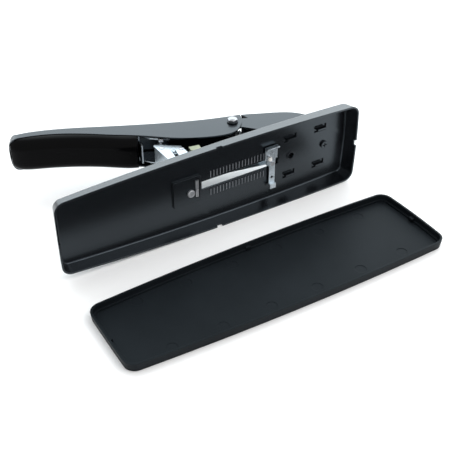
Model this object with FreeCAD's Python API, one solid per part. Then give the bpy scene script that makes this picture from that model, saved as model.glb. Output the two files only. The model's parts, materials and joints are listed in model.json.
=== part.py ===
import FreeCAD
import Part
import math
import os

V = FreeCAD.Vector
os.makedirs("parts", exist_ok=True)

# Heavy-duty long-handled stapler with its base cover tray taken off.
# Sub-parts are drawn upright: +X front to rear, +Y across, +Z up from the base rim.
# lay() then turns the finished stapler on its side, behind the tray, which lies flat at the origin.

# ---- overall sizes (mm, degrees) ----
BASE_L = 281.0
BASE_W = 78.2
BASE_H_FRONT = 10.4
BASE_H_REAR = 14.8
SHEET = 1.2
TRAY_MARGIN = 2.0
TRAY_L = BASE_L + 2.0 * TRAY_MARGIN
TRAY_W = BASE_W + 2.0 * TRAY_MARGIN
TRAY_H = 7.8
OPEN_ANGLE = 24.0
MAG_LIFT = 9.0
RAM_STROKE = 14.0

# ---- key points (x, height) ----
PIVOT = (51.4, 64.5)
MAG_PIVOT = (100.0, 28.0)
DRIVE_PIN = (64.6, -10.5)
RAM_PIN = (-15.5, 49.4)
RAM_GUIDE = (-15.5, 38.06)

# ---- clearances ----
RUN = 0.08
LINK_CLEARANCE = 0.85
LINK_SHIFT = (0.1, -0.1)

# ---- base pressing ----
BASE_DRAFT = 2.7
BASE_CORNER = 9.0
BASE_FRONT_NARROW = 5.4
BASE_REAR_NARROW = 1.1
BASE_FRONT_BULGE = 0.14
BASE_REAR_BULGE = 0.78
FOLD_R = 2.5
RIM_NOTCH_W = 5.2
RIM_NOTCH_H = 2.2
SLOT_X0 = -10.9
SLOT_X1 = 66.0
SLOT_HALF = 3.75
TEETH = 18
TOOTH_PITCH = 3.08
TOOTH_W = 1.3
TOOTH_H = 0.8
TOOTH_Y0 = 5.5
TOOTH_Y1 = 11.7
TEETH_X0 = -2.6
POCKET_X0 = -38.0
POCKET_X1 = -13.0
POCKET_HALF = 12.2
POCKET_DEPTH = 2.0
WINDOW_L = 12.5
WINDOW_W = 6.5
WINDOW_X = (77.5, 109.5)
WINDOW_Y = 18.0
RING_X = 78.8
RING_R = 4.0
SCREW_X = 114.7

# ---- anvil ----
ANVIL_X = -15.9
ANVIL_SLOT_W = 4.2
ANVIL_SLOT_L = 17.3
ANVIL_GAP = 0.15
ANVIL_T = 2.0
LOBE_R = 1.7
LOBE_Y = 4.1
LOBE_L = 7.4
ANVIL_SCREW_X = -22.4
ANVIL_SCREW_Y = 2.3
ANVIL_SCREW_R = 3.4

# ---- tray ----
TRAY_WALL = 1.7
TRAY_FLOOR = 2.0
TRAY_CORNER = 10.0
TRAY_DRAFT = 0.9
STAPLER_X = -2.1
STAPLER_GAP = 37.7
STAPLER_Y = TRAY_W / 2.0 + STAPLER_GAP
LEDGE_W = 1.4
LEDGE_H = 1.6
LUG_W = 4.4
LUG_D = 1.5
LUG_H = 3.4
EJECT_R = 4.5
EJECT_H = 0.25

# ---- widths across (half widths from the centre plane) ----
CHANNEL_OUT = 7.6
CHANNEL_T = 1.0
COVER_T = 1.2
COVER_OUT = CHANNEL_OUT + COVER_T
SIDE_GAP = 0.8
HEAD_T = 1.2
HEAD_OUT = COVER_OUT + SIDE_GAP + HEAD_T
BRACKET_T = 1.2
BRACKET_OUT = HEAD_OUT + SIDE_GAP + BRACKET_T
STAND_T = 1.5
STAND_OUT = BRACKET_OUT + STAND_T
SHELL_T = 1.2
SHELL_GAP = 0.5
SHELL_OUT = STAND_OUT + SHELL_GAP + SHELL_T
LINK_HALF = 4.6
BOLT_R = 2.5
PIN_R = 1.6

# ---- heights in the closed magazine ----
MAG_BOTTOM = 14.9
CHANNEL_TOP = 28.0
COVER_BOTTOM = 20.0
COVER_TOP = 33.0
RAIL_TOP = 26.3
ROD_Z = 29.3


def box(x0, x1, y0, y1, z0, z1):
    return Part.makeBox(x1 - x0, y1 - y0, z1 - z0, V(x0, y0, z0))


def rod_y(x, z, radius, y0, y1):
    return Part.makeCylinder(radius, y1 - y0, V(x, y0, z), V(0, 1, 0))


def rod_z(x, y, radius, z0, z1):
    return Part.makeCylinder(radius, z1 - z0, V(x, y, z0), V(0, 0, 1))


def rod_x(y, z, radius, x0, x1):
    return Part.makeCylinder(radius, x1 - x0, V(x0, y, z), V(1, 0, 0))


def both_sides(shape):
    return shape.fuse(shape.mirror(V(0, 0, 0), V(0, 1, 0)))


def face_xz(points, y):
    corners = [V(x, y, z) for x, z in points]
    return Part.Face(Part.makePolygon(corners + corners[:1]))


def plate(points, y0, y1):
    return face_xz(points, y0).extrude(V(0, y1 - y0, 0))


def spline_edge(points, y):
    curve = Part.BSplineCurve()
    curve.interpolate([V(x, y, z) for x, z in points])
    return curve.toShape()


def prism(edges, y0, y1):
    wire = Part.Wire(Part.__sortEdges__(edges))
    solid = Part.Face(wire).extrude(V(0, y1 - y0, 0))
    return solid


def hex_prism(x, z, flats, y0, y1):
    radius = flats / math.sqrt(3.0)
    points = []
    for k in range(6):
        a = math.radians(60.0 * k + 12.0)
        points.append((x + radius * math.cos(a), z + radius * math.sin(a)))
    return plate(points, y0, y1)


def coil(radius, wire_r, pitch, length, centre, axis):
    helix = Part.makeHelix(pitch, length, radius)
    ring = Part.Wire(Part.makeCircle(wire_r, V(radius, 0, 0), V(0, 1, 0)))
    solid = Part.Wire(helix).makePipeShell([ring], True, True)
    turn = FreeCAD.Rotation(V(0, 0, 1), axis)
    solid.Placement = FreeCAD.Placement(centre, turn)
    return solid


def clean(shape):
    fixed = shape.removeSplitter()
    if len(fixed.Solids) == 1:
        return fixed.Solids[0]
    return fixed


# ---- frames ----
def deck_height(x):
    slope = (BASE_H_REAR - BASE_H_FRONT) / BASE_L
    return BASE_H_FRONT + slope * (x + BASE_L / 2.0)


DECK_TILT = math.degrees(math.atan2(BASE_H_REAR - BASE_H_FRONT, BASE_L))


def on_deck(shape):
    placed = shape.copy()
    placed.rotate(V(0, 0, 0), V(0, 1, 0), -DECK_TILT)
    placed.translate(V(0, 0, deck_height(0.0)))
    return placed


def handle_xz(s, t):
    a = math.radians(OPEN_ANGLE)
    x = PIVOT[0] - s * math.cos(a) + t * math.sin(a)
    z = PIVOT[1] + s * math.sin(a) + t * math.cos(a)
    return (x, z)


def opened(shape):
    placed = shape.copy()
    placed.rotate(V(MAG_PIVOT[0], 0, MAG_PIVOT[1]), V(0, 1, 0), MAG_LIFT)
    return placed


def open_point(x, z):
    a = math.radians(MAG_LIFT)
    dx = x - MAG_PIVOT[0]
    dz = z - MAG_PIVOT[1]
    px = MAG_PIVOT[0] + dx * math.cos(a) + dz * math.sin(a)
    pz = MAG_PIVOT[1] - dx * math.sin(a) + dz * math.cos(a)
    return (px, pz)


def lay(shape):
    placed = shape.copy()
    placed.rotate(V(0, 0, 0), V(1, 0, 0), -90)
    placed.translate(V(STAPLER_X, STAPLER_Y, BASE_W / 2.0))
    return placed


def save(name, shape):
    clean(shape).exportStep("parts/" + name + ".step")


# ---- rounded outline shared by the base and its tray ----
def outline(length, width, corner, inset, z):
    half = length / 2.0 - corner
    w_mid = width / 2.0 - corner
    w_front = w_mid - BASE_FRONT_NARROW
    w_rear = w_mid - BASE_REAR_NARROW
    fl = V(-half, w_front, z)
    rl = V(half, w_rear, z)
    rr = V(half, -w_rear, z)
    fr = V(-half, -w_front, z)
    left = Part.Arc(fl, V(0, w_mid, z), rl).toShape()
    rear = Part.Arc(rl, V(half + BASE_REAR_BULGE, 0, z), rr).toShape()
    right = Part.Arc(rr, V(0, -w_mid, z), fr).toShape()
    front = Part.Arc(fr, V(-half - BASE_FRONT_BULGE, 0, z), fl).toShape()
    core = Part.Wire([left, rear, right, front])
    return core.makeOffset2D(corner - inset)


def sloped(wire, drop):
    placed = wire.copy()
    placed.rotate(V(0, 0, 0), V(0, 1, 0), -DECK_TILT)
    placed.translate(V(0, 0, deck_height(0.0) - drop))
    return placed


def top_edges(solid, low):
    found = []
    for edge in solid.Edges:
        box_ = edge.BoundBox
        level = (box_.ZMin + box_.ZMax) / 2.0
        middle = (box_.XMin + box_.XMax) / 2.0
        flat = box_.ZLength < 0.02 * box_.DiagonalLength + 0.05
        if flat and level > deck_height(middle) - low:
            found.append(edge)
    return found


def rounded_loft(rim_inset, top_inset, drop, start, radius):
    rim = outline(BASE_L, BASE_W, BASE_CORNER, rim_inset, start)
    top = sloped(outline(BASE_L, BASE_W, BASE_CORNER, top_inset, 0.0), drop)
    solid = Part.makeLoft([rim, top], True, True)
    return solid.makeFillet(radius, top_edges(solid, drop + SHEET))


def deck_tools():
    through = [-3.0 * SHEET, SHEET]
    cuts = [box(SLOT_X0, SLOT_X1, -SLOT_HALF, SLOT_HALF, through[0], through[1])]
    for x in WINDOW_X:
        for y in (-WINDOW_Y, WINDOW_Y):
            half_l = WINDOW_L / 2.0
            half_w = WINDOW_W / 2.0
            cuts.append(box(x - half_l, x + half_l, y - half_w, y + half_w, through[0], through[1]))
    cuts.append(rod_z(RING_X, 0.0, RING_R - SHEET, through[0] - SHEET, through[1]))
    cuts.append(rod_z(SCREW_X, 0.0, 2.2, through[0], through[1]))
    return Part.makeCompound(cuts)


def base_plate():
    outer = rounded_loft(0.0, BASE_DRAFT, 0.0, 0.0, FOLD_R)
    inner = rounded_loft(SHEET, BASE_DRAFT + SHEET, SHEET, -SHEET, FOLD_R - SHEET)
    shell = outer.cut(inner)
    pocket = box(POCKET_X0, POCKET_X1, -POCKET_HALF, POCKET_HALF, -SHEET - POCKET_DEPTH, -SHEET / 2.0)
    ribs = []
    for k in range(TEETH):
        x = TEETH_X0 + k * TOOTH_PITCH
        for side in (-1, 1):
            y0 = min(side * TOOTH_Y0, side * TOOTH_Y1)
            ribs.append(box(x, x + TOOTH_W, y0, y0 + TOOTH_Y1 - TOOTH_Y0, -SHEET - TOOTH_H, -SHEET / 2.0))
    ring = rod_z(RING_X, 0.0, RING_R, -SHEET - TOOTH_H, -SHEET / 2.0)
    shell = shell.fuse([on_deck(part) for part in [pocket, ring] + ribs])
    recess = box(POCKET_X0 + SHEET, POCKET_X1 - SHEET, SHEET - POCKET_HALF, POCKET_HALF - SHEET,
                 -POCKET_DEPTH, SHEET)
    slot_half = ANVIL_SLOT_L / 2.0
    cross = box(ANVIL_X - ANVIL_SLOT_W / 2.0, ANVIL_X + ANVIL_SLOT_W / 2.0 - 0.2, -slot_half, slot_half,
                -3.0 * SHEET - POCKET_DEPTH, 0.0)
    screw = rod_z(ANVIL_SCREW_X, ANVIL_SCREW_Y, 1.6, -3.0 * SHEET - POCKET_DEPTH, 0.0)
    tools = [on_deck(recess), on_deck(cross), on_deck(screw), on_deck(deck_tools())]
    half = RIM_NOTCH_W / 2.0
    reach = 5.0
    tools.append(box(-half, half, -BASE_W, BASE_W, -SHEET, RIM_NOTCH_H))
    tools.append(box(-BASE_L, -BASE_L / 2.0 + reach, -half, half, -SHEET, RIM_NOTCH_H))
    tools.append(box(BASE_L / 2.0 - reach, BASE_L, -half, half, -SHEET, RIM_NOTCH_H))
    return shell.cut(tools)


def anvil_plate():
    edge = SHEET + ANVIL_GAP
    body = box(POCKET_X0 + edge, POCKET_X1 - edge, edge - POCKET_HALF, POCKET_HALF - edge, -ANVIL_T, 0.0)
    for side in (-1, 1):
        y = side * LOBE_Y
        lobe = rod_y(ANVIL_X - 0.1, -ANVIL_T, LOBE_R, y - LOBE_L / 2.0, y + LOBE_L / 2.0)
        body = body.fuse(lobe)
    for side in (-1, 1):
        y = side * LOBE_Y
        groove = rod_y(ANVIL_X - 0.1, 0.0, LOBE_R / 2.0, y - 3.0, y + 3.0)
        body = body.cut(groove)
    return body.cut(rod_z(ANVIL_SCREW_X, ANVIL_SCREW_Y, 1.6, -2.0 * ANVIL_T, ANVIL_T))


def anvil_screw():
    under = -SHEET - POCKET_DEPTH
    head = rod_z(ANVIL_SCREW_X, ANVIL_SCREW_Y, ANVIL_SCREW_R, under - 1.8, under)
    head = head.makeFillet(0.8, [head.Edges[2]])
    shank = rod_z(ANVIL_SCREW_X, ANVIL_SCREW_Y, 1.6, under - 0.5, -0.3)
    cross = box(ANVIL_SCREW_X - 2.0, ANVIL_SCREW_X + 2.0, ANVIL_SCREW_Y - 0.4, ANVIL_SCREW_Y + 0.4,
                under - 2.0, under - 1.0)
    turned = cross.copy()
    turned.rotate(V(ANVIL_SCREW_X, ANVIL_SCREW_Y, 0), V(0, 0, 1), 90)
    return head.fuse(shank).cut([cross, turned])


# ---- tray that snaps over the rim, lying flat in front ----
def tray_solid(inset, z0, z1):
    low = outline(TRAY_L, TRAY_W, TRAY_CORNER, inset + TRAY_DRAFT * (TRAY_H - z0) / TRAY_H, z0)
    high = outline(TRAY_L, TRAY_W, TRAY_CORNER, inset + TRAY_DRAFT * (TRAY_H - z1) / TRAY_H, z1)
    return Part.makeLoft([low, high], True, True)


def base_tray():
    outer = tray_solid(0.0, 0.0, TRAY_H)
    bottom = [edge for edge in outer.Edges if edge.BoundBox.ZMax < 0.01]
    outer = outer.makeFillet(1.2, bottom)
    inner = tray_solid(TRAY_WALL + LEDGE_W, TRAY_FLOOR, TRAY_H + 1.0)
    upper = tray_solid(TRAY_WALL, TRAY_FLOOR + LEDGE_H, TRAY_H + 1.0)
    body = outer.cut(inner.fuse(upper))
    lugs = []
    reach = TRAY_L / 2.0 - TRAY_WALL - LUG_D - TRAY_DRAFT
    for end in (-1, 1):
        x0 = min(end * reach, end * (TRAY_L / 2.0 - TRAY_WALL / 2.0))
        lugs.append(box(x0, x0 + TRAY_WALL / 2.0 + LUG_D + TRAY_DRAFT, -LUG_W / 2.0, LUG_W / 2.0,
                        TRAY_FLOOR / 2.0, TRAY_FLOOR + LUG_H))
    side = TRAY_W / 2.0 - TRAY_WALL - LUG_D - TRAY_DRAFT
    for end in (-1, 1):
        y0 = min(end * side, end * (TRAY_W / 2.0 - TRAY_WALL / 2.0))
        lugs.append(box(-LUG_W / 2.0, LUG_W / 2.0, y0, y0 + TRAY_WALL / 2.0 + LUG_D + TRAY_DRAFT,
                        TRAY_FLOOR / 2.0, TRAY_FLOOR + LUG_H))
    body = body.fuse(lugs)
    marks = []
    for x in (-105.0, -63.0, -21.0, 21.0, 63.0, 105.0):
        for end in (-1, 1):
            y = end * (TRAY_W / 2.0 - 13.0)
            marks.append(rod_z(x, y, EJECT_R, TRAY_FLOOR - EJECT_H, TRAY_FLOOR + 1.0))
    return body.cut(marks)


# ---- rear stand ----
STAND_TOP = [(66.5, 74.4), (74.3, 71.5), (82.5, 67.7), (91.1, 64.2), (99.3, 60.2),
             (107.1, 55.5), (113.6, 49.1), (117.3, 43.4)]
STAND_FRONT_X = 65.0
STAND_KNEE = (65.0, 45.0)
STAND_NECK = (56.0, 55.0)
STAND_REAR_X = 123.5
BOSS_R = 8.6
WEB_CLEAR_R = 17.3


def stand_profile(offset, y0, y1):
    top = []
    for x, z in STAND_TOP:
        top.append((x - 0.5 * offset, z - offset))
    rear = STAND_REAR_X - offset
    edges = [spline_edge(top, y0)]
    corners = [top[-1], (rear, deck_height(rear)), (STAND_FRONT_X, deck_height(STAND_FRONT_X)),
               STAND_KNEE, STAND_NECK, top[0]]
    for a, b in zip(corners, corners[1:]):
        edges.append(Part.makeLine(V(a[0], y0, a[1]), V(b[0], y0, b[1])))
    return prism(edges, y0, y1)


def stand_foot(side):
    y0 = STAND_OUT - STAND_T
    y1 = WINDOW_Y + 5.5
    foot = box(STAND_FRONT_X + 4.0, STAND_REAR_X - 2.0, y0, y1, 0.0, STAND_T)
    for x in WINDOW_X:
        foot = foot.fuse(box(x - 4.5, x + 4.5, WINDOW_Y - 0.8, WINDOW_Y + 0.8, -SHEET - 3.0, STAND_T))
    for x in (STAND_FRONT_X + 4.0, STAND_REAR_X - 2.0):
        foot = foot.cut(box(x - 2.0, x + 2.0, y1 - 2.0, y1 + 1.0, -1.0, STAND_T + 1.0))
    if side < 0:
        foot = foot.mirror(V(0, 0, 0), V(0, 1, 0))
    return on_deck(foot)


def rear_stand():
    inner = STAND_OUT - STAND_T
    boss = rod_y(PIVOT[0], PIVOT[1], BOSS_R, -STAND_OUT, STAND_OUT)
    near = rod_y(PIVOT[0], PIVOT[1], WEB_CLEAR_R, -STAND_OUT - 1.0, STAND_OUT + 1.0)
    solid = stand_profile(0.0, -STAND_OUT, STAND_OUT)
    hollow = stand_profile(STAND_T, -inner, inner)
    body = solid.cut(near)
    neck = [(PIVOT[0] - BOSS_R * 0.98, PIVOT[1] - 1.0), (PIVOT[0] + BOSS_R * 0.5, PIVOT[1] + BOSS_R * 0.86),
            (PIVOT[0] + 18.5, PIVOT[1] + 1.0), (PIVOT[0] + 18.5, STAND_KNEE[1] - 1.0), STAND_KNEE, STAND_NECK,
            (PIVOT[0] - 2.0, PIVOT[1] - BOSS_R * 0.97)]
    arms = plate(neck, -STAND_OUT, STAND_OUT)
    body = body.fuse([boss, arms])
    lane = box(PIVOT[0] - 30.0, STAND_REAR_X - 0.6 * STAND_T - 6.0, -inner, inner, 0.0, PIVOT[1] - 18.0)
    throat = rod_y(PIVOT[0], PIVOT[1], WEB_CLEAR_R + 1.0, -inner, inner)
    front = box(PIVOT[0] - 30.0, PIVOT[0] + 6.0, -inner, inner, 0.0, PIVOT[1] + 20.0)
    body = body.cut([hollow, lane, throat, front])
    floor = on_deck(box(MAG_PIVOT[0] + 9.0, STAND_REAR_X - 1.0, -inner - 0.2, inner + 0.2, 0.0, STAND_T))
    body = body.fuse([floor, stand_foot(1), stand_foot(-1)])
    under = on_deck(box(-BASE_L, BASE_L, -WINDOW_Y + 1.0, WINDOW_Y - 1.0, -40.0, 0.0))
    holes = [rod_y(PIVOT[0], PIVOT[1], BOLT_R, -40.0, 40.0),
             rod_y(MAG_PIVOT[0], MAG_PIVOT[1], 2.5, -40.0, 40.0),
             on_deck(rod_z(SCREW_X, 0.0, 2.2, -5.0, 10.0)), under]
    return body.cut(holes)


def stand_screw():
    head = rod_z(SCREW_X, 0.0, 3.5, -SHEET - 1.8, -SHEET)
    shank = rod_z(SCREW_X, 0.0, 2.2, -SHEET - 0.5, STAND_T + 4.2)
    cross = box(SCREW_X - 2.2, SCREW_X + 2.2, -0.4, 0.4, -SHEET - 2.5, -SHEET - 1.0)
    turned = cross.copy()
    turned.rotate(V(SCREW_X, 0, 0), V(0, 0, 1), 90)
    return on_deck(head.fuse(shank).cut([cross, turned]))


def stand_nut():
    body = rod_z(SCREW_X, 0.0, 4.0, STAND_T, STAND_T + 3.2)
    return on_deck(body.cut(rod_z(SCREW_X, 0.0, 2.2, 0.0, 10.0)))


# ---- pivot hardware ----
WASHER_T = 1.0
WASHER_GAP = 0.2
NUT_T = 3.0
HEX_FLATS = 8.0
WASHER_R = 5.0


def pivot_bolt():
    face = SHELL_OUT + WASHER_GAP + WASHER_T
    head = hex_prism(PIVOT[0], PIVOT[1], HEX_FLATS, -face - NUT_T, -face)
    dome = Part.makeSphere(HEX_FLATS * 0.85, V(PIVOT[0], -face - NUT_T + HEX_FLATS * 0.8, PIVOT[1]))
    head = head.common(dome)
    shank = rod_y(PIVOT[0], PIVOT[1], BOLT_R, -face - 0.5, face + NUT_T + 1.0)
    return head.fuse(shank)


def pivot_nut():
    face = SHELL_OUT + WASHER_GAP + WASHER_T
    nut = hex_prism(PIVOT[0], PIVOT[1], HEX_FLATS, face, face + NUT_T)
    return nut.cut(rod_y(PIVOT[0], PIVOT[1], BOLT_R, 0.0, 40.0))


def pivot_washer(side):
    low = SHELL_OUT + WASHER_GAP
    ring = rod_y(PIVOT[0], PIVOT[1], WASHER_R, low, low + WASHER_T)
    ring = ring.cut(rod_y(PIVOT[0], PIVOT[1], BOLT_R, 0.0, 40.0))
    if side < 0:
        ring = ring.mirror(V(0, 0, 0), V(0, 1, 0))
    return ring


def return_spring():
    return coil(7.2, 0.8, 1.9, 9.5, V(PIVOT[0], -4.75, PIVOT[1]), V(0, 1, 0))


# ---- handle ----
TOP_EDGE = [(190.0, 2.2), (186.0, 3.6), (181.0, 5.0), (170.0, 6.9), (150.0, 8.4), (121.0, 8.2),
            (90.0, 7.5), (73.0, 7.5), (28.0, 9.2), (8.0, 11.6), (-8.0, 14.6)]
BOTTOM_EDGE = [(-2.5, -14.3), (3.8, -19.0), (13.5, -21.8), (31.2, -23.1), (48.0, -22.0), (57.0, -20.3),
               (74.0, -15.6), (95.0, -11.2), (108.0, -9.0), (125.0, -5.4), (142.0, -2.8), (159.0, -1.8),
               (176.0, -3.2), (191.0, -6.6)]
REAR_MID = (-8.5, 2.0)
WEB_REAR_S = 1.0
TIP_MID = (196.2, -2.6)
TIP_S = 196.6
TIP_BULGE = 1.2
TIP_ROUND = 9.0
HOLLOW_T = 40.0
NOSE = [(194.0, -0.3), (TIP_S, -4.5)]


def plan_prism(half, tip, radius):
    # rounded plan outline of the handle's front end, run through the handle's full depth
    a = math.radians(OPEN_ANGLE)
    depth = V(math.sin(a), 0, math.cos(a))

    def at(s, y):
        x, z = handle_xz(s, -2.0 * HOLLOW_T)
        return V(x, y, z)

    mid = radius * (1.0 - math.sqrt(0.5))
    shoulder = tip - TIP_BULGE - radius
    front = tip - TIP_BULGE
    edges = [Part.makeLine(at(-HOLLOW_T, -half), at(shoulder, -half)),
             Part.Arc(at(shoulder, -half), at(front - mid, mid - half), at(front, radius - half)).toShape(),
             Part.Arc(at(front, radius - half), at(tip, 0.0), at(front, half - radius)).toShape(),
             Part.Arc(at(front, half - radius), at(front - mid, half - mid), at(shoulder, half)).toShape(),
             Part.makeLine(at(shoulder, half), at(-HOLLOW_T, half)),
             Part.makeLine(at(-HOLLOW_T, half), at(-HOLLOW_T, -half))]
    return Part.Face(Part.Wire(edges)).extrude(depth * (4.0 * HOLLOW_T))


def handle_outline(y0, drop):
    top = [handle_xz(s, t) for s, t in TOP_EDGE]
    low = [handle_xz(s, t - drop) for s, t in BOTTOM_EDGE]
    rear = handle_xz(*REAR_MID)
    tip = handle_xz(TIP_MID[0] + drop, TIP_MID[1] - drop)
    edges = [spline_edge(top, y0), spline_edge(low, y0)]
    edges.append(Part.Arc(V(top[-1][0], y0, top[-1][1]), V(rear[0], y0, rear[1]),
                          V(low[0][0], y0, low[0][1])).toShape())
    edges.append(Part.Arc(V(low[-1][0], y0, low[-1][1]), V(tip[0], y0, tip[1]),
                          V(top[0][0], y0, top[0][1])).toShape())
    return edges


def handle_t(point):
    a = math.radians(OPEN_ANGLE)
    return (point.x - PIVOT[0]) * math.sin(a) + (point.z - PIVOT[1]) * math.cos(a)


def long_edges(solid, low_t, high_t):
    found = []
    for edge in solid.Edges:
        size = edge.BoundBox
        if size.YLength > 0.01 or size.XLength < 40.0:
            continue
        mid = edge.valueAt((edge.FirstParameter + edge.LastParameter) / 2.0)
        if low_t < handle_t(mid) < high_t:
            found.append(edge)
    return found


def under_web(half, depth, floor_t, s0, s1):
    top = []
    for s, t in TOP_EDGE:
        if s0 < s < s1:
            top.append(handle_xz(s, t - depth))
    corners = [top[-1], handle_xz(s0, floor_t), handle_xz(s1, floor_t), handle_xz(s1, NOSE[1][1]),
               handle_xz(NOSE[0][0], NOSE[0][1] - depth + SHELL_T), top[0]]
    edges = [spline_edge(top, -half)]
    for a, b in zip(corners, corners[1:]):
        edges.append(Part.makeLine(V(a[0], -half, a[1]), V(b[0], -half, b[1])))
    return prism(edges, -half, half)


def shell_hollow(skin, tip):
    hollow = under_web(SHELL_OUT - skin, skin, -HOLLOW_T, -HOLLOW_T, TIP_S)
    hollow = hollow.makeFillet(FOLD_R - skin, long_edges(hollow, 1.0, HOLLOW_T))
    return hollow.common(plan_prism(SHELL_OUT - skin, tip, TIP_ROUND - skin))


def handle_shell():
    body = prism(handle_outline(-SHELL_OUT, 0.0), -SHELL_OUT, SHELL_OUT)
    body = body.makeFillet(FOLD_R, long_edges(body, 1.0, HOLLOW_T))
    body = body.common(plan_prism(SHELL_OUT, TIP_S, TIP_ROUND))
    inner = SHELL_OUT - SHELL_T
    rear = plate([handle_xz(s, t) for s, t in
                  [(WEB_REAR_S, -HOLLOW_T), (WEB_REAR_S, HOLLOW_T), (-HOLLOW_T, HOLLOW_T),
                   (-HOLLOW_T, -HOLLOW_T)]], -inner, inner)
    hole = rod_y(PIVOT[0], PIVOT[1], BOLT_R + RUN, -40.0, 40.0)
    return body.cut([shell_hollow(SHELL_T, TIP_S - SHELL_T), rear, hole])


GRIP_REAR_S = 85.0
GRIP_LOW = [(86.0, -22.6), (96.0, -22.2), (110.0, -19.2), (130.0, -15.6), (151.0, -13.8), (168.0, -13.8),
            (180.0, -14.0), (188.0, -12.8), (193.5, -9.6)]
GRIP_TOP_T = -1.0
GRIP_ROUND = 10.0
GRIP_FIT = 0.05
GRIP_INSET = 0.5


def handle_grip():
    half = SHELL_OUT - GRIP_INSET
    low = [handle_xz(s, t) for s, t in GRIP_LOW]
    corners = [(TIP_S - 1.4, -3.5), (TIP_S - 4.6, GRIP_TOP_T), (GRIP_REAR_S, GRIP_TOP_T), (GRIP_REAR_S, -20.5)]
    edges = [spline_edge(low, -half)]
    chain = [low[-1]] + [handle_xz(s, t) for s, t in corners] + [low[0]]
    for a, b in zip(chain, chain[1:]):
        edges.append(Part.makeLine(V(a[0], -half, a[1]), V(b[0], -half, b[1])))
    cushion = prism(edges, -half, half)
    cushion = cushion.makeFillet(GRIP_ROUND, long_edges(cushion, -HOLLOW_T, -12.0))
    cushion = cushion.common(plan_prism(half, TIP_S - GRIP_INSET, TIP_ROUND - GRIP_INSET))
    side = SHELL_OUT + 1.0
    reach = [(GRIP_REAR_S, -6.0), (GRIP_REAR_S, HOLLOW_T), (TIP_S, HOLLOW_T), (TIP_S, -6.0)]
    room = SHELL_T + GRIP_FIT
    core = shell_hollow(room, TIP_S - SHELL_T).common(plate([handle_xz(s, t) for s, t in reach], -side, side))
    span = [(-HOLLOW_T, -2.0 * HOLLOW_T), (-HOLLOW_T, 2.0 * HOLLOW_T), (TIP_S + 5.0, 2.0 * HOLLOW_T),
            (TIP_S + 5.0, -2.0 * HOLLOW_T)]
    inside = plate([handle_xz(s, t) for s, t in span], room - SHELL_OUT, SHELL_OUT - room)
    inside = inside.common(plan_prism(SHELL_OUT - room, TIP_S - SHELL_T, TIP_ROUND - room))
    skin = prism(handle_outline(-side, GRIP_FIT), -side, side).cut(inside)
    return cushion.fuse(core).cut(skin)


BRACKET_S = (57.0, 84.2)


STUD_AT = (64.6, -17.8)
STUD_LOBE = 2.6
BRACKET_TONGUE = 8.8


def lever_bracket():
    inner = BRACKET_OUT - BRACKET_T
    wide = SHELL_OUT - SHELL_T
    thick = BRACKET_T
    rear_s, front_s = BRACKET_S
    bend_t = -8.0
    foot_s, foot_t = (81.7, -19.6)
    cheek = plate([handle_xz(s, t) for s, t in
                   [(rear_s, 4.0), (front_s - 0.6, 4.0), (front_s - 0.6, bend_t), (74.0, -13.6),
                    (67.0, -15.6), (rear_s, -17.0)]], inner, BRACKET_OUT)
    stud_x, stud_z = handle_xz(*STUD_AT)
    cheek = cheek.fuse(rod_y(stud_x, stud_z, STUD_LOBE, inner, BRACKET_OUT))
    web = plate([handle_xz(s, t) for s, t in
                 [(front_s - thick, 4.8), (front_s, 4.8), (front_s, bend_t), (front_s - thick, bend_t)]],
                -BRACKET_OUT, BRACKET_OUT)
    tongue = plate([handle_xz(s, t) for s, t in
                    [(front_s - thick, bend_t + 1.0), (front_s, bend_t + 1.0), (front_s, bend_t),
                     (foot_s, foot_t), (foot_s - thick, foot_t), (front_s - thick, bend_t)]],
                   -BRACKET_TONGUE, BRACKET_TONGUE)
    wings = plate([handle_xz(s, t) for s, t in
                   [(front_s - thick, 4.8), (front_s, 4.8), (front_s, -5.0), (front_s - thick, -5.0)]],
                  -wide, wide)
    pin_x, pin_z = handle_xz(*DRIVE_PIN)
    holes = [rod_y(pin_x, pin_z, PIN_R, -40.0, 40.0), rod_y(stud_x, stud_z, PIN_R, -40.0, 40.0)]
    return both_sides(cheek).fuse([web, tongue, wings]).cut(holes)


def bracket_stud(side):
    x, z = handle_xz(*STUD_AT)
    body = rod_y(x, z, PIN_R, BRACKET_OUT - BRACKET_T, BRACKET_OUT + 1.3)
    body = body.fuse(rod_y(x, z, 2.3, BRACKET_OUT, BRACKET_OUT + 0.6))
    if side < 0:
        body = body.mirror(V(0, 0, 0), V(0, 1, 0))
    return body


def drive_pin():
    x, z = handle_xz(*DRIVE_PIN)
    body = rod_y(x, z, PIN_R, -BRACKET_OUT - 0.3, BRACKET_OUT + 0.3)
    cap = rod_y(x, z, 2.4, BRACKET_OUT, BRACKET_OUT + 0.9)
    return body.fuse(both_sides(cap))


LINK_EYE = 3.6
LINK_WAIST = 2.6
RAM_PIN_R = 1.5


def drive_link():
    x0, z0 = handle_xz(*DRIVE_PIN)
    x1, z1 = open_point(*RAM_PIN)
    x1 = x1 + LINK_SHIFT[0]
    z1 = z1 + LINK_SHIFT[1]
    length = math.hypot(x1 - x0, z1 - z0)
    ux = LINK_WAIST * (x1 - x0) / length
    uz = LINK_WAIST * (z1 - z0) / length
    corners = [(x0 - uz, z0 + ux), (x1 - uz, z1 + ux), (x1 + uz, z1 - ux), (x0 + uz, z0 - ux)]
    body = plate(corners, -LINK_HALF, LINK_HALF)
    body = body.fuse([rod_y(x, z, LINK_EYE, -LINK_HALF, LINK_HALF) for x, z in [(x0, z0), (x1, z1)]])
    return body.cut([rod_y(x0, z0, PIN_R + RUN, -40.0, 40.0),
                     rod_y(x1, z1, RAM_PIN_R + LINK_CLEARANCE, -40.0, 40.0)])


# ---- magazine, drawn closed and then opened about its pivot ----
CHANNEL_FRONT = -15.2
CHANNEL_FLOOR_END = 98.0
MAG_EAR_R = 6.5


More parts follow.
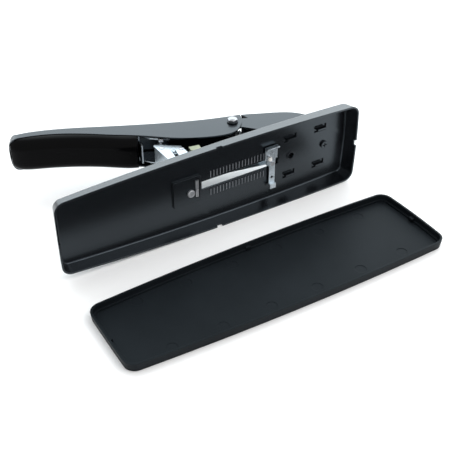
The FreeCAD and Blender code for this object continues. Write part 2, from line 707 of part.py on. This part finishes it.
def magazine_channel():
    outer = CHANNEL_OUT
    inner = CHANNEL_OUT - CHANNEL_T
    wall = [(CHANNEL_FRONT, MAG_BOTTOM), (CHANNEL_FLOOR_END, MAG_BOTTOM),
            (MAG_PIVOT[0] + MAG_EAR_R, MAG_PIVOT[1]), (MAG_PIVOT[0] - MAG_EAR_R - 1.0, CHANNEL_TOP),
            (CHANNEL_FRONT, CHANNEL_TOP)]
    body = plate(wall, -outer, outer)
    body = body.fuse(rod_y(MAG_PIVOT[0], MAG_PIVOT[1], MAG_EAR_R, -outer, outer))
    body = body.cut(box(CHANNEL_FRONT - 1.0, MAG_PIVOT[0] + 20.0, -inner, inner, MAG_BOTTOM + CHANNEL_T, 60.0))
    return opened(body.cut(rod_y(MAG_PIVOT[0], MAG_PIVOT[1], 2.5 + RUN, -40.0, 40.0)))


COVER_FRONT = -10.5
COVER_REAR = 90.0


def magazine_cover():
    inner = COVER_OUT - COVER_T
    body = box(COVER_FRONT, COVER_REAR, -COVER_OUT, COVER_OUT, COVER_BOTTOM, COVER_TOP)
    ridge = [edge for edge in body.Edges
             if edge.BoundBox.ZMin > COVER_TOP - 0.01 and edge.BoundBox.XLength > 20.0]
    body = body.makeFillet(2.0, ridge)
    hollow = box(COVER_FRONT - 1.0, COVER_REAR + 1.0, -inner, inner, 0.0, COVER_TOP - COVER_T)
    body = body.cut(hollow)
    window = box(20.0, 62.0, inner - 1.0, COVER_OUT + 1.0, COVER_BOTTOM + 3.0, COVER_BOTTOM + 7.0)
    return opened(body.cut([window, window.mirror(V(0, 0, 0), V(0, 1, 0))]))


HEAD_PLATE = [(-21.9, 15.2), (-29.3, 52.4), (-26.4, 53.2), (-7.2, 43.8), (-1.8, 15.2)]
PAD_X = (-9.9, -4.9)
GUIDE_BOSS_R = 1.5


def head_plate(side):
    low = HEAD_OUT - HEAD_T
    body = plate(HEAD_PLATE, low, HEAD_OUT)
    corners = [edge for edge in body.Edges
               if edge.BoundBox.XLength < 0.01 and edge.BoundBox.ZLength < 0.01
               and edge.BoundBox.ZMin > 40.0]
    body = body.makeFillet(1.2, corners)
    pad = box(PAD_X[0], PAD_X[1], COVER_OUT, low + 0.2, COVER_BOTTOM + 1.0, COVER_TOP - 2.5)
    half = GUIDE_BOSS_R + 0.3
    x, top = RAM_GUIDE
    slot = box(x - half, x + half, 0.0, 40.0, top - RAM_STROKE, top)
    ends = [rod_y(x, top, half, 0.0, 40.0), rod_y(x, top - RAM_STROKE, half, 0.0, 40.0)]
    holes = [rod_y(rivet_x, rivet_z, PIN_R, 0.0, 40.0) for rivet_x, rivet_z in RIVET_AT]
    body = body.fuse(pad).cut([slot] + ends + holes)
    if side < 0:
        body = body.mirror(V(0, 0, 0), V(0, 1, 0))
    return opened(body)


RIVET_AT = [(-23.4, 46.0), (-8.2, 39.0)]


def head_rivet(at):
    x, z = at
    body = rod_y(x, z, PIN_R, -HEAD_OUT - 0.2, HEAD_OUT + 0.2)
    spacer = rod_y(x, z, 2.0, HEAD_T - HEAD_OUT, HEAD_OUT - HEAD_T)
    caps = [rod_y(x, z, 2.3, -HEAD_OUT - 0.25, -HEAD_OUT), rod_y(x, z, 2.3, HEAD_OUT, HEAD_OUT + 0.25)]
    return opened(body.fuse([spacer] + caps))


GATE_WIDE_X = -20.2
GATE_TOP = 31.0


def front_gate():
    wide = HEAD_OUT - HEAD_T
    slim = CHANNEL_OUT - 0.2
    low = MAG_BOTTOM + 0.3
    lip = [(-21.7, low), (-28.7, 50.5), (-27.5, 50.5), (-23.4, GATE_TOP), (GATE_WIDE_X, GATE_TOP - 1.0),
           (GATE_WIDE_X, low)]
    body = plate(lip, -wide, wide)
    nose = box(GATE_WIDE_X - 0.2, -16.6, -slim, slim, MAG_BOTTOM + 0.3, CHANNEL_TOP - 1.0)
    return opened(body.fuse(nose))


def staple_rail():
    return opened(box(CHANNEL_FRONT + 0.4, 92.5, -5.4, 5.4, MAG_BOTTOM + CHANNEL_T, RAIL_TOP))


STAPLE_END = 20.0


def staple_strip():
    crown = RAIL_TOP + 0.9
    body = box(-15.3, STAPLE_END, -6.4, 6.4, MAG_BOTTOM + CHANNEL_T + 0.3, crown)
    body = body.cut(box(-17.0, STAPLE_END + 1.0, -5.7, 5.7, 0.0, RAIL_TOP + 0.2))
    lines = []
    for k in range(17):
        x = -14.2 + 2.0 * k
        lines.append(box(x, x + 0.3, -7.0, 7.0, crown - 0.25, crown + 1.0))
    return opened(body.cut(lines))


def rear_block():
    inner = CHANNEL_OUT - CHANNEL_T
    body = box(93.0, MAG_PIVOT[0] + 4.5, -inner, inner, MAG_BOTTOM + CHANNEL_T, ROD_Z + 2.6)
    cut = plate([(CHANNEL_FLOOR_END, 0.0), (CHANNEL_FLOOR_END, MAG_BOTTOM + CHANNEL_T),
                 (MAG_PIVOT[0] + 4.6, MAG_PIVOT[1] - 6.0), (MAG_PIVOT[0] + 4.6, 0.0)], -40.0, 40.0)
    holes = [rod_y(MAG_PIVOT[0], MAG_PIVOT[1], 2.5 + RUN, -40.0, 40.0), rod_x(0.0, ROD_Z, 1.2, 90.0, 96.0)]
    return opened(body.cut([cut] + holes))


def magazine_pin():
    x, z = MAG_PIVOT
    body = rod_y(x, z, 2.5, -STAND_OUT - 0.4, STAND_OUT + 0.4)
    caps = [rod_y(x, z, 3.6, -STAND_OUT - 1.2, -STAND_OUT), rod_y(x, z, 3.6, STAND_OUT, STAND_OUT + 1.2)]
    return body.fuse(caps)


ROD_FRONT = -8.0


def pusher_rod():
    return opened(rod_x(0.0, ROD_Z, 1.2, ROD_FRONT, 96.0))


PUSHER_L = 9.0


def pusher():
    x0 = STAPLE_END + 0.2
    x1 = x0 + PUSHER_L
    body = box(x0, x1, -6.3, 6.3, MAG_BOTTOM + CHANNEL_T + 0.3, RAIL_TOP + 1.4)
    body = body.cut(box(x0 - 1.0, x1 + 1.0, -5.8, 5.8, 0.0, RAIL_TOP + 0.3))
    tower = box(x0, x1, -3.0, 3.0, RAIL_TOP + 1.2, ROD_Z + 2.2)
    return opened(body.fuse(tower).cut(rod_x(0.0, ROD_Z, 1.2 + RUN, x0 - 1.0, x1 + 1.0)))


def pusher_spring():
    x0 = STAPLE_END + 0.2 + PUSHER_L + 0.6
    length = 92.5 - x0
    return opened(coil(1.75, 0.25, 2.4, length, V(x0, 0, ROD_Z), V(1, 0, 0)))


LATCH_X = (-3.2, 6.2)


def magazine_latch():
    body = box(LATCH_X[0], LATCH_X[1], -12.6, 3.0, COVER_TOP, COVER_TOP + 1.4)
    tab = box(LATCH_X[0], LATCH_X[1], -13.8, -12.4, COVER_TOP - 5.0, COVER_TOP + 1.4)
    body = body.fuse(tab)
    ribs = [box(LATCH_X[0] + 1.6 + 2.2 * k, LATCH_X[0] + 2.6 + 2.2 * k, -11.0, 1.6, COVER_TOP + 1.2,
                COVER_TOP + 2.0) for k in range(3)]
    return opened(body.fuse(ribs))


# ---- ram and driver ----
CHEEK_T = 1.2
CHEEK_OUT = COVER_OUT + SIDE_GAP / 2.0
CHEEK_IN = CHEEK_OUT - CHEEK_T
EAR_IN = 5.2


def ram_block():
    x, z = RAM_GUIDE
    cheek = plate([(-19.4, z + 5.0), (-19.4, z - 1.4), (-17.6, z - 3.2), (-13.2, z - 3.2),
                   (-11.8, z - 1.4), (-11.8, z + 5.0)], CHEEK_IN, CHEEK_OUT)
    boss = rod_y(x, z, GUIDE_BOSS_R, CHEEK_OUT - 0.4, HEAD_OUT - 0.1)
    bridge = box(-19.8, -11.8, -CHEEK_OUT, CHEEK_OUT, z + 4.4, z + 6.6)
    pin_x, pin_z = RAM_PIN
    ear = plate([(pin_x - 4.0, z + 6.0), (pin_x - 2.4, pin_z + 2.2), (pin_x + 2.4, pin_z + 2.2),
                 (pin_x + 3.4, z + 6.0)], EAR_IN, EAR_IN + 1.6)
    pin = rod_y(pin_x, pin_z, RAM_PIN_R, -EAR_IN - 2.0, EAR_IN + 2.0)
    body = both_sides(cheek.fuse(boss)).fuse([bridge, both_sides(ear), pin])
    return opened(body.cut(box(-16.3, -15.5, -6.2, 6.2, z, z + 5.8)))


def driver_blade():
    low = MAG_BOTTOM + RAM_STROKE + 0.1
    return opened(box(-16.3, -15.5, -6.2, 6.2, low, RAM_GUIDE[1] + 5.8))


# ---- paper depth guide ----
GUIDE_X0 = 50.6
GUIDE_X1 = 63.0
NECK_X = (55.0, 61.0)
GUIDE_TOP = -SHEET - TOOTH_H - 0.4
GUIDE_T = 1.1
ROLLER_X = 54.0
ROLLER_DROP = 2.1
ROLLER_R = 1.8


def guide_clip():
    low = GUIDE_TOP - GUIDE_T
    body = box(GUIDE_X0, GUIDE_X1, -16.9, -4.2, low, GUIDE_TOP)
    fold = box(GUIDE_X0, GUIDE_X1, -16.9, -15.7, low - 3.2, GUIDE_TOP)
    neck = box(NECK_X[0], NECK_X[1], -5.0, 20.6, low, GUIDE_TOP)
    foot = box(NECK_X[0], NECK_X[1], 19.5, 20.6, low - 2.4, GUIDE_TOP)
    toe = box(NECK_X[0], NECK_X[1], 20.4, 24.2, low - 2.4, low - 1.3)
    stem = box(NECK_X[0], NECK_X[1], -3.2, 3.2, GUIDE_TOP - 0.4, 0.12)
    body = body.fuse([fold, neck, foot, toe, stem])
    hole = rod_z(58.0, 14.0, 1.3, low - 5.0, GUIDE_TOP + 1.0)
    rivet = rod_z(58.0, 0.0, 1.1, low - 5.0, 5.0)
    bracket = box(ROLLER_X - 0.9, ROLLER_X + 0.9, -9.4, -4.4, low - 0.1, low + 0.2)
    return on_deck(body.cut([hole, rivet, bracket]))


def guide_rivet():
    low = GUIDE_TOP - GUIDE_T
    shank = rod_z(58.0, 0.0, 1.1, low - 0.3, 0.12 + 0.7)
    head = rod_z(58.0, 0.0, 2.1, low - 1.0, low)
    return on_deck(shank.fuse(head))


def guide_roller():
    low = GUIDE_TOP - GUIDE_T
    roller = rod_y(ROLLER_X, low - ROLLER_DROP, ROLLER_R, -8.2, -5.3)
    return on_deck(roller.cut(rod_y(ROLLER_X, low - ROLLER_DROP, 0.5 + RUN, -10.0, 0.0)))


def roller_pin():
    low = GUIDE_TOP - GUIDE_T
    pin = rod_y(ROLLER_X, low - ROLLER_DROP, 0.5, -9.6, -4.4)
    ears = [box(ROLLER_X - 0.9, ROLLER_X + 0.9, y, y + 0.7, low - ROLLER_DROP - 0.9, low + 0.2)
            for y in (-9.4, -5.1)]
    return on_deck(pin.fuse(ears))


def paper_stop():
    strip = box(NECK_X[0], NECK_X[1], -22.0, 22.0, 0.12, 0.82)
    fence = box(NECK_X[0], NECK_X[0] + 1.0, 12.0, 22.0, 0.12, 9.0)
    body = strip.fuse([fence, fence.mirror(V(0, 0, 0), V(0, 1, 0))])
    return on_deck(body.cut(rod_z(58.0, 0.0, 1.1, -1.0, 5.0)))


def main():
    stapler = {
        "base_plate": base_plate(),
        "anvil_plate": on_deck(anvil_plate()),
        "anvil_screw": on_deck(anvil_screw()),
        "rear_stand": rear_stand(),
        "stand_screw": stand_screw(),
        "stand_nut": stand_nut(),
        "pivot_bolt": pivot_bolt(),
        "pivot_nut": pivot_nut(),
        "washer_left": pivot_washer(-1),
        "washer_right": pivot_washer(1),
        "return_spring": return_spring(),
        "handle_shell": handle_shell(),
        "handle_grip": handle_grip(),
        "lever_bracket": lever_bracket(),
        "drive_pin": drive_pin(),
        "drive_link": drive_link(),
        "bracket_stud_left": bracket_stud(-1),
        "bracket_stud_right": bracket_stud(1),
        "magazine_channel": magazine_channel(),
        "magazine_cover": magazine_cover(),
        "head_plate_left": head_plate(-1),
        "head_plate_right": head_plate(1),
        "head_rivet_front": head_rivet(RIVET_AT[0]),
        "head_rivet_rear": head_rivet(RIVET_AT[1]),
        "front_gate": front_gate(),
        "staple_rail": staple_rail(),
        "staple_strip": staple_strip(),
        "rear_block": rear_block(),
        "magazine_pin": magazine_pin(),
        "pusher_rod": pusher_rod(),
        "pusher": pusher(),
        "pusher_spring": pusher_spring(),
        "magazine_latch": magazine_latch(),
        "ram_block": ram_block(),
        "driver_blade": driver_blade(),
        "guide_clip": guide_clip(),
        "guide_rivet": guide_rivet(),
        "guide_roller": guide_roller(),
        "roller_pin": roller_pin(),
        "paper_stop": paper_stop(),
    }
    for name, shape in stapler.items():
        save(name, lay(shape))
    save("base_tray", base_tray())


main()
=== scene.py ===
import json

import bpy
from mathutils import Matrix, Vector

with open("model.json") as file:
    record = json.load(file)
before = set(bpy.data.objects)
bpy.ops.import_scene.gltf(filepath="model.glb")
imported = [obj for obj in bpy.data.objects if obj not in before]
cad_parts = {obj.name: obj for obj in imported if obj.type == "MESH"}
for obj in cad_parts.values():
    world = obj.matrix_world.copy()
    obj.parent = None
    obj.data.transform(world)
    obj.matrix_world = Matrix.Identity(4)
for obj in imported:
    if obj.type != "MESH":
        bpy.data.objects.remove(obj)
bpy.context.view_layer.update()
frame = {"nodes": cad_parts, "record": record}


# ---- materials ----
# the part of a noise texture's range that is spread over two colours or two roughnesses
NOISE_LOW = 0.3
NOISE_HIGH = 0.7
# rounding seen on sharp edges, and how strongly the grain shows
EDGE_RADIUS = 0.0005
BUMP_STRENGTH = 0.35
BROAD_DETAIL = 3.0
FINE_DETAIL = 2.0


def new_material(name):
    mat = bpy.data.materials.new(name)
    mat.use_nodes = True
    nodes = mat.node_tree.nodes
    links = mat.node_tree.links
    shader = nodes.get("Principled BSDF")
    return mat, nodes, links, shader


def object_coords(nodes):
    return nodes.new("ShaderNodeTexCoord").outputs["Object"]


def noise(nodes, links, scale, detail, stretch=(1.0, 1.0, 1.0)):
    mapping = nodes.new("ShaderNodeMapping")
    mapping.inputs["Scale"].default_value = stretch
    links.new(object_coords(nodes), mapping.inputs["Vector"])
    tex = nodes.new("ShaderNodeTexNoise")
    tex.inputs["Scale"].default_value = scale
    tex.inputs["Detail"].default_value = detail
    links.new(mapping.outputs["Vector"], tex.inputs["Vector"])
    return tex.outputs["Fac"]


def remap(nodes, links, value, low, high):
    node = nodes.new("ShaderNodeMapRange")
    node.inputs["From Min"].default_value = NOISE_LOW
    node.inputs["From Max"].default_value = NOISE_HIGH
    node.inputs["To Min"].default_value = low
    node.inputs["To Max"].default_value = high
    links.new(value, node.inputs["Value"])
    return node.outputs["Result"]


def two_colours(nodes, links, value, low, high):
    ramp = nodes.new("ShaderNodeValToRGB")
    ramp.color_ramp.elements[0].position = NOISE_LOW
    ramp.color_ramp.elements[1].position = NOISE_HIGH
    ramp.color_ramp.elements[0].color = (*low, 1.0)
    ramp.color_ramp.elements[1].color = (*high, 1.0)
    links.new(value, ramp.inputs["Fac"])
    return ramp.outputs["Color"]


def bump(nodes, links, height, shader, distance):
    edge = nodes.new("ShaderNodeBevel")
    edge.inputs["Radius"].default_value = EDGE_RADIUS
    node = nodes.new("ShaderNodeBump")
    links.new(edge.outputs["Normal"], node.inputs["Normal"])
    node.inputs["Strength"].default_value = BUMP_STRENGTH
    node.inputs["Distance"].default_value = distance
    links.new(height, node.inputs["Height"])
    links.new(node.outputs["Normal"], shader.inputs["Normal"])


def surface(name, low, high, rough, metallic=0.0, grain=900.0, grain_depth=0.00004, cloud=18.0,
            stretch=(1.0, 1.0, 1.0), specular=0.5, tint=(1.0, 1.0, 1.0)):
    mat, nodes, links, shader = new_material(name)
    broad = noise(nodes, links, cloud, BROAD_DETAIL)
    fine = noise(nodes, links, grain, FINE_DETAIL, stretch)
    links.new(two_colours(nodes, links, broad, low, high), shader.inputs["Base Color"])
    links.new(remap(nodes, links, fine, rough[0], rough[1]), shader.inputs["Roughness"])
    shader.inputs["Metallic"].default_value = metallic
    shader.inputs["Specular IOR Level"].default_value = specular
    shader.inputs["Specular Tint"].default_value = (*tint, 1.0)
    bump(nodes, links, fine, shader, grain_depth)
    return mat


def math_node(nodes, links, operation, first, second):
    node = nodes.new("ShaderNodeMath")
    node.operation = operation
    for socket, value in zip(node.inputs, (first, second)):
        if isinstance(value, float):
            socket.default_value = value
        else:
            links.new(value, socket)
    return node.outputs["Value"]


# the teeth of the paper scale: x of the first, pitch, count and width of the painted highlight line,
# their reach from the centre line, and the height below which the painted highlight shows
TEETH_X = -0.0047
TEETH_PITCH = 0.00308
TEETH_COUNT = 18
HIGHLIGHT_LINE_WIDTH = 0.00042
TEETH_REACH = (0.0055, 0.0117)
CENTRE_Z = 0.0391
TEETH_FACE_Y = 0.0905
# light grey of the painted highlight lines on the tooth edges, standing in for their glint
TEETH_HIGHLIGHT_COLOUR = (0.20, 0.21, 0.23)


# paints a thin light stripe on the edge of each tooth: a painted highlight, not the paint's own colour
def paint_teeth_highlights(mat, colour):
    nodes, links = mat.node_tree.nodes, mat.node_tree.links
    shader = nodes.get("Principled BSDF")
    axes = nodes.new("ShaderNodeSeparateXYZ")
    links.new(object_coords(nodes), axes.inputs["Vector"])
    x, y, z = (axes.outputs[k] for k in ("X", "Y", "Z"))
    along = math_node(nodes, links, "SUBTRACT", x, TEETH_X)
    step = math_node(nodes, links, "MODULO", along, TEETH_PITCH)
    across = math_node(nodes, links, "ABSOLUTE", math_node(nodes, links, "SUBTRACT", z, CENTRE_Z), 0.0)
    tests = [("LESS_THAN", step, HIGHLIGHT_LINE_WIDTH), ("GREATER_THAN", along, 0.0),
             ("LESS_THAN", along, TEETH_COUNT * TEETH_PITCH), ("GREATER_THAN", across, TEETH_REACH[0]),
             ("LESS_THAN", across, TEETH_REACH[1]), ("LESS_THAN", y, TEETH_FACE_Y)]
    highlight_mask = math_node(nodes, links, *tests[0])
    for test in tests[1:]:
        highlight_mask = math_node(nodes, links, "MULTIPLY", highlight_mask, math_node(nodes, links, *test))
    mix = nodes.new("ShaderNodeMix")
    mix.data_type = "RGBA"
    painted = shader.inputs["Base Color"].links[0].from_socket
    colour_in = {socket.name: socket for socket in mix.inputs if socket.type == "RGBA"}
    colour_out = next(socket for socket in mix.outputs if socket.type == "RGBA")
    links.new(highlight_mask, mix.inputs[0])
    links.new(painted, colour_in["A"])
    colour_in["B"].default_value = (*colour, 1.0)
    links.new(colour_out, shader.inputs["Base Color"])


def black_paint(name):
    return surface(name, (0.0016, 0.0018, 0.0024), (0.0026, 0.0029, 0.0038), (0.23, 0.27),
                   grain=1400.0, grain_depth=0.000004, specular=0.60, tint=(0.74, 0.88, 1.0))


MATERIALS = {
    "black_paint": black_paint("satin_black_paint"),
    "black_plastic": surface("matt_black_plastic", (0.0020, 0.0028, 0.0038), (0.0050, 0.0064, 0.0080),
                             (0.46, 0.60), grain=2600.0, grain_depth=0.00004, specular=0.14,
                             tint=(0.72, 0.88, 1.0)),
    "grip_gloss": surface("gloss_black_grip", (0.0012, 0.0012, 0.0014), (0.0020, 0.0020, 0.0023),
                          (0.18, 0.24), grain=500.0, grain_depth=0.00001, specular=0.05),
    "zinc": surface("bright_zinc", (0.46, 0.52, 0.56), (0.58, 0.64, 0.69), (0.24, 0.42), metallic=1.0,
                    grain=300.0, cloud=60.0, stretch=(1.0, 6.0, 6.0)),
    "yellow_zinc": surface("yellow_zinc", (0.20, 0.21, 0.15), (0.30, 0.31, 0.22), (0.28, 0.42),
                           metallic=1.0, grain=300.0, cloud=90.0),
    "steel": surface("bare_steel", (0.36, 0.37, 0.39), (0.50, 0.51, 0.53), (0.28, 0.44), metallic=1.0,
                     grain=400.0, cloud=70.0, stretch=(6.0, 1.0, 6.0)),
    "chrome": surface("polished_plate", (0.34, 0.35, 0.37), (0.46, 0.47, 0.49), (0.14, 0.24), metallic=1.0,
                      grain=200.0, grain_depth=0.00001, cloud=40.0),
    "white_plastic": surface("white_plastic", (0.72, 0.72, 0.70), (0.80, 0.80, 0.78), (0.35, 0.5)),
}

# the base's black paint carries painted highlight lines on the teeth of its paper scale
base_paint_with_highlights = black_paint("base_black_paint_painted_highlights")
paint_teeth_highlights(base_paint_with_highlights, TEETH_HIGHLIGHT_COLOUR)

SLOTS = {entry["node"]: entry["material_slot"] for entry in frame["record"]["subparts"]}
for node_name, obj in frame["nodes"].items():
    obj.data.materials.clear()
    obj.data.materials.append(base_paint_with_highlights if node_name == "base_plate" else MATERIALS[SLOTS[node_name]])

# ---- stage ----
FLOOR_HALF = 12.0
FLOOR_COLOUR = (0.93, 0.93, 0.93)
FLOOR_ROUGHNESS = 0.7
WORLD_COLOUR = (1.0, 1.0, 1.0)
WORLD_STRENGTH = 1.0

bpy.ops.mesh.primitive_plane_add(size=2.0 * FLOOR_HALF, location=(0.0, 0.0, 0.0))
floor = bpy.context.object
floor.name = "floor"
floor_mat, _, _, floor_shader = new_material("pale_floor")
floor_shader.inputs["Base Color"].default_value = (*FLOOR_COLOUR, 1.0)
floor_shader.inputs["Roughness"].default_value = FLOOR_ROUGHNESS
floor.data.materials.append(floor_mat)

world = bpy.data.worlds.new("studio")
world.use_nodes = True
background = world.node_tree.nodes["Background"]
background.inputs["Color"].default_value = (*WORLD_COLOUR, 1.0)
background.inputs["Strength"].default_value = WORLD_STRENGTH
bpy.context.scene.world = world
bpy.context.scene.view_settings.view_transform = "Standard"


def softbox(name, location, aim, size, power, colour):
    light = bpy.data.lights.new(name, "AREA")
    light.shape = "RECTANGLE"
    light.size = size[0]
    light.size_y = size[1]
    light.energy = power
    light.color = colour
    lamp = bpy.data.objects.new(name, light)
    lamp.location = location
    lamp.rotation_euler = (Vector(aim) - Vector(location)).to_track_quat("-Z", "Y").to_euler()
    bpy.context.collection.objects.link(lamp)


CENTRE = (0.0, 0.09, 0.04)
softbox("back", (0.70, 1.22, 1.05), CENTRE, (3.6, 2.2), 42.0, (0.84, 0.95, 1.0))
softbox("overhead", (0.50, -0.52, 1.05), CENTRE, (0.9, 0.6), 5.0, (1.0, 1.0, 1.0))

# ---- camera ----
CAMERA_AT = (-0.2852, -0.3988, 0.4119)
CAMERA_AIM = (0.0028, 0.0790, 0.0)
SENSOR_WIDTH = 36.0
LENS = 65.42

camera_data = bpy.data.cameras.new("camera")
camera_data.sensor_width = SENSOR_WIDTH
camera_data.lens = LENS
camera = bpy.data.objects.new("camera", camera_data)
camera.location = CAMERA_AT
camera.rotation_euler = (Vector(CAMERA_AIM) - Vector(CAMERA_AT)).to_track_quat("-Z", "Y").to_euler()
bpy.context.collection.objects.link(camera)
bpy.context.scene.camera = camera
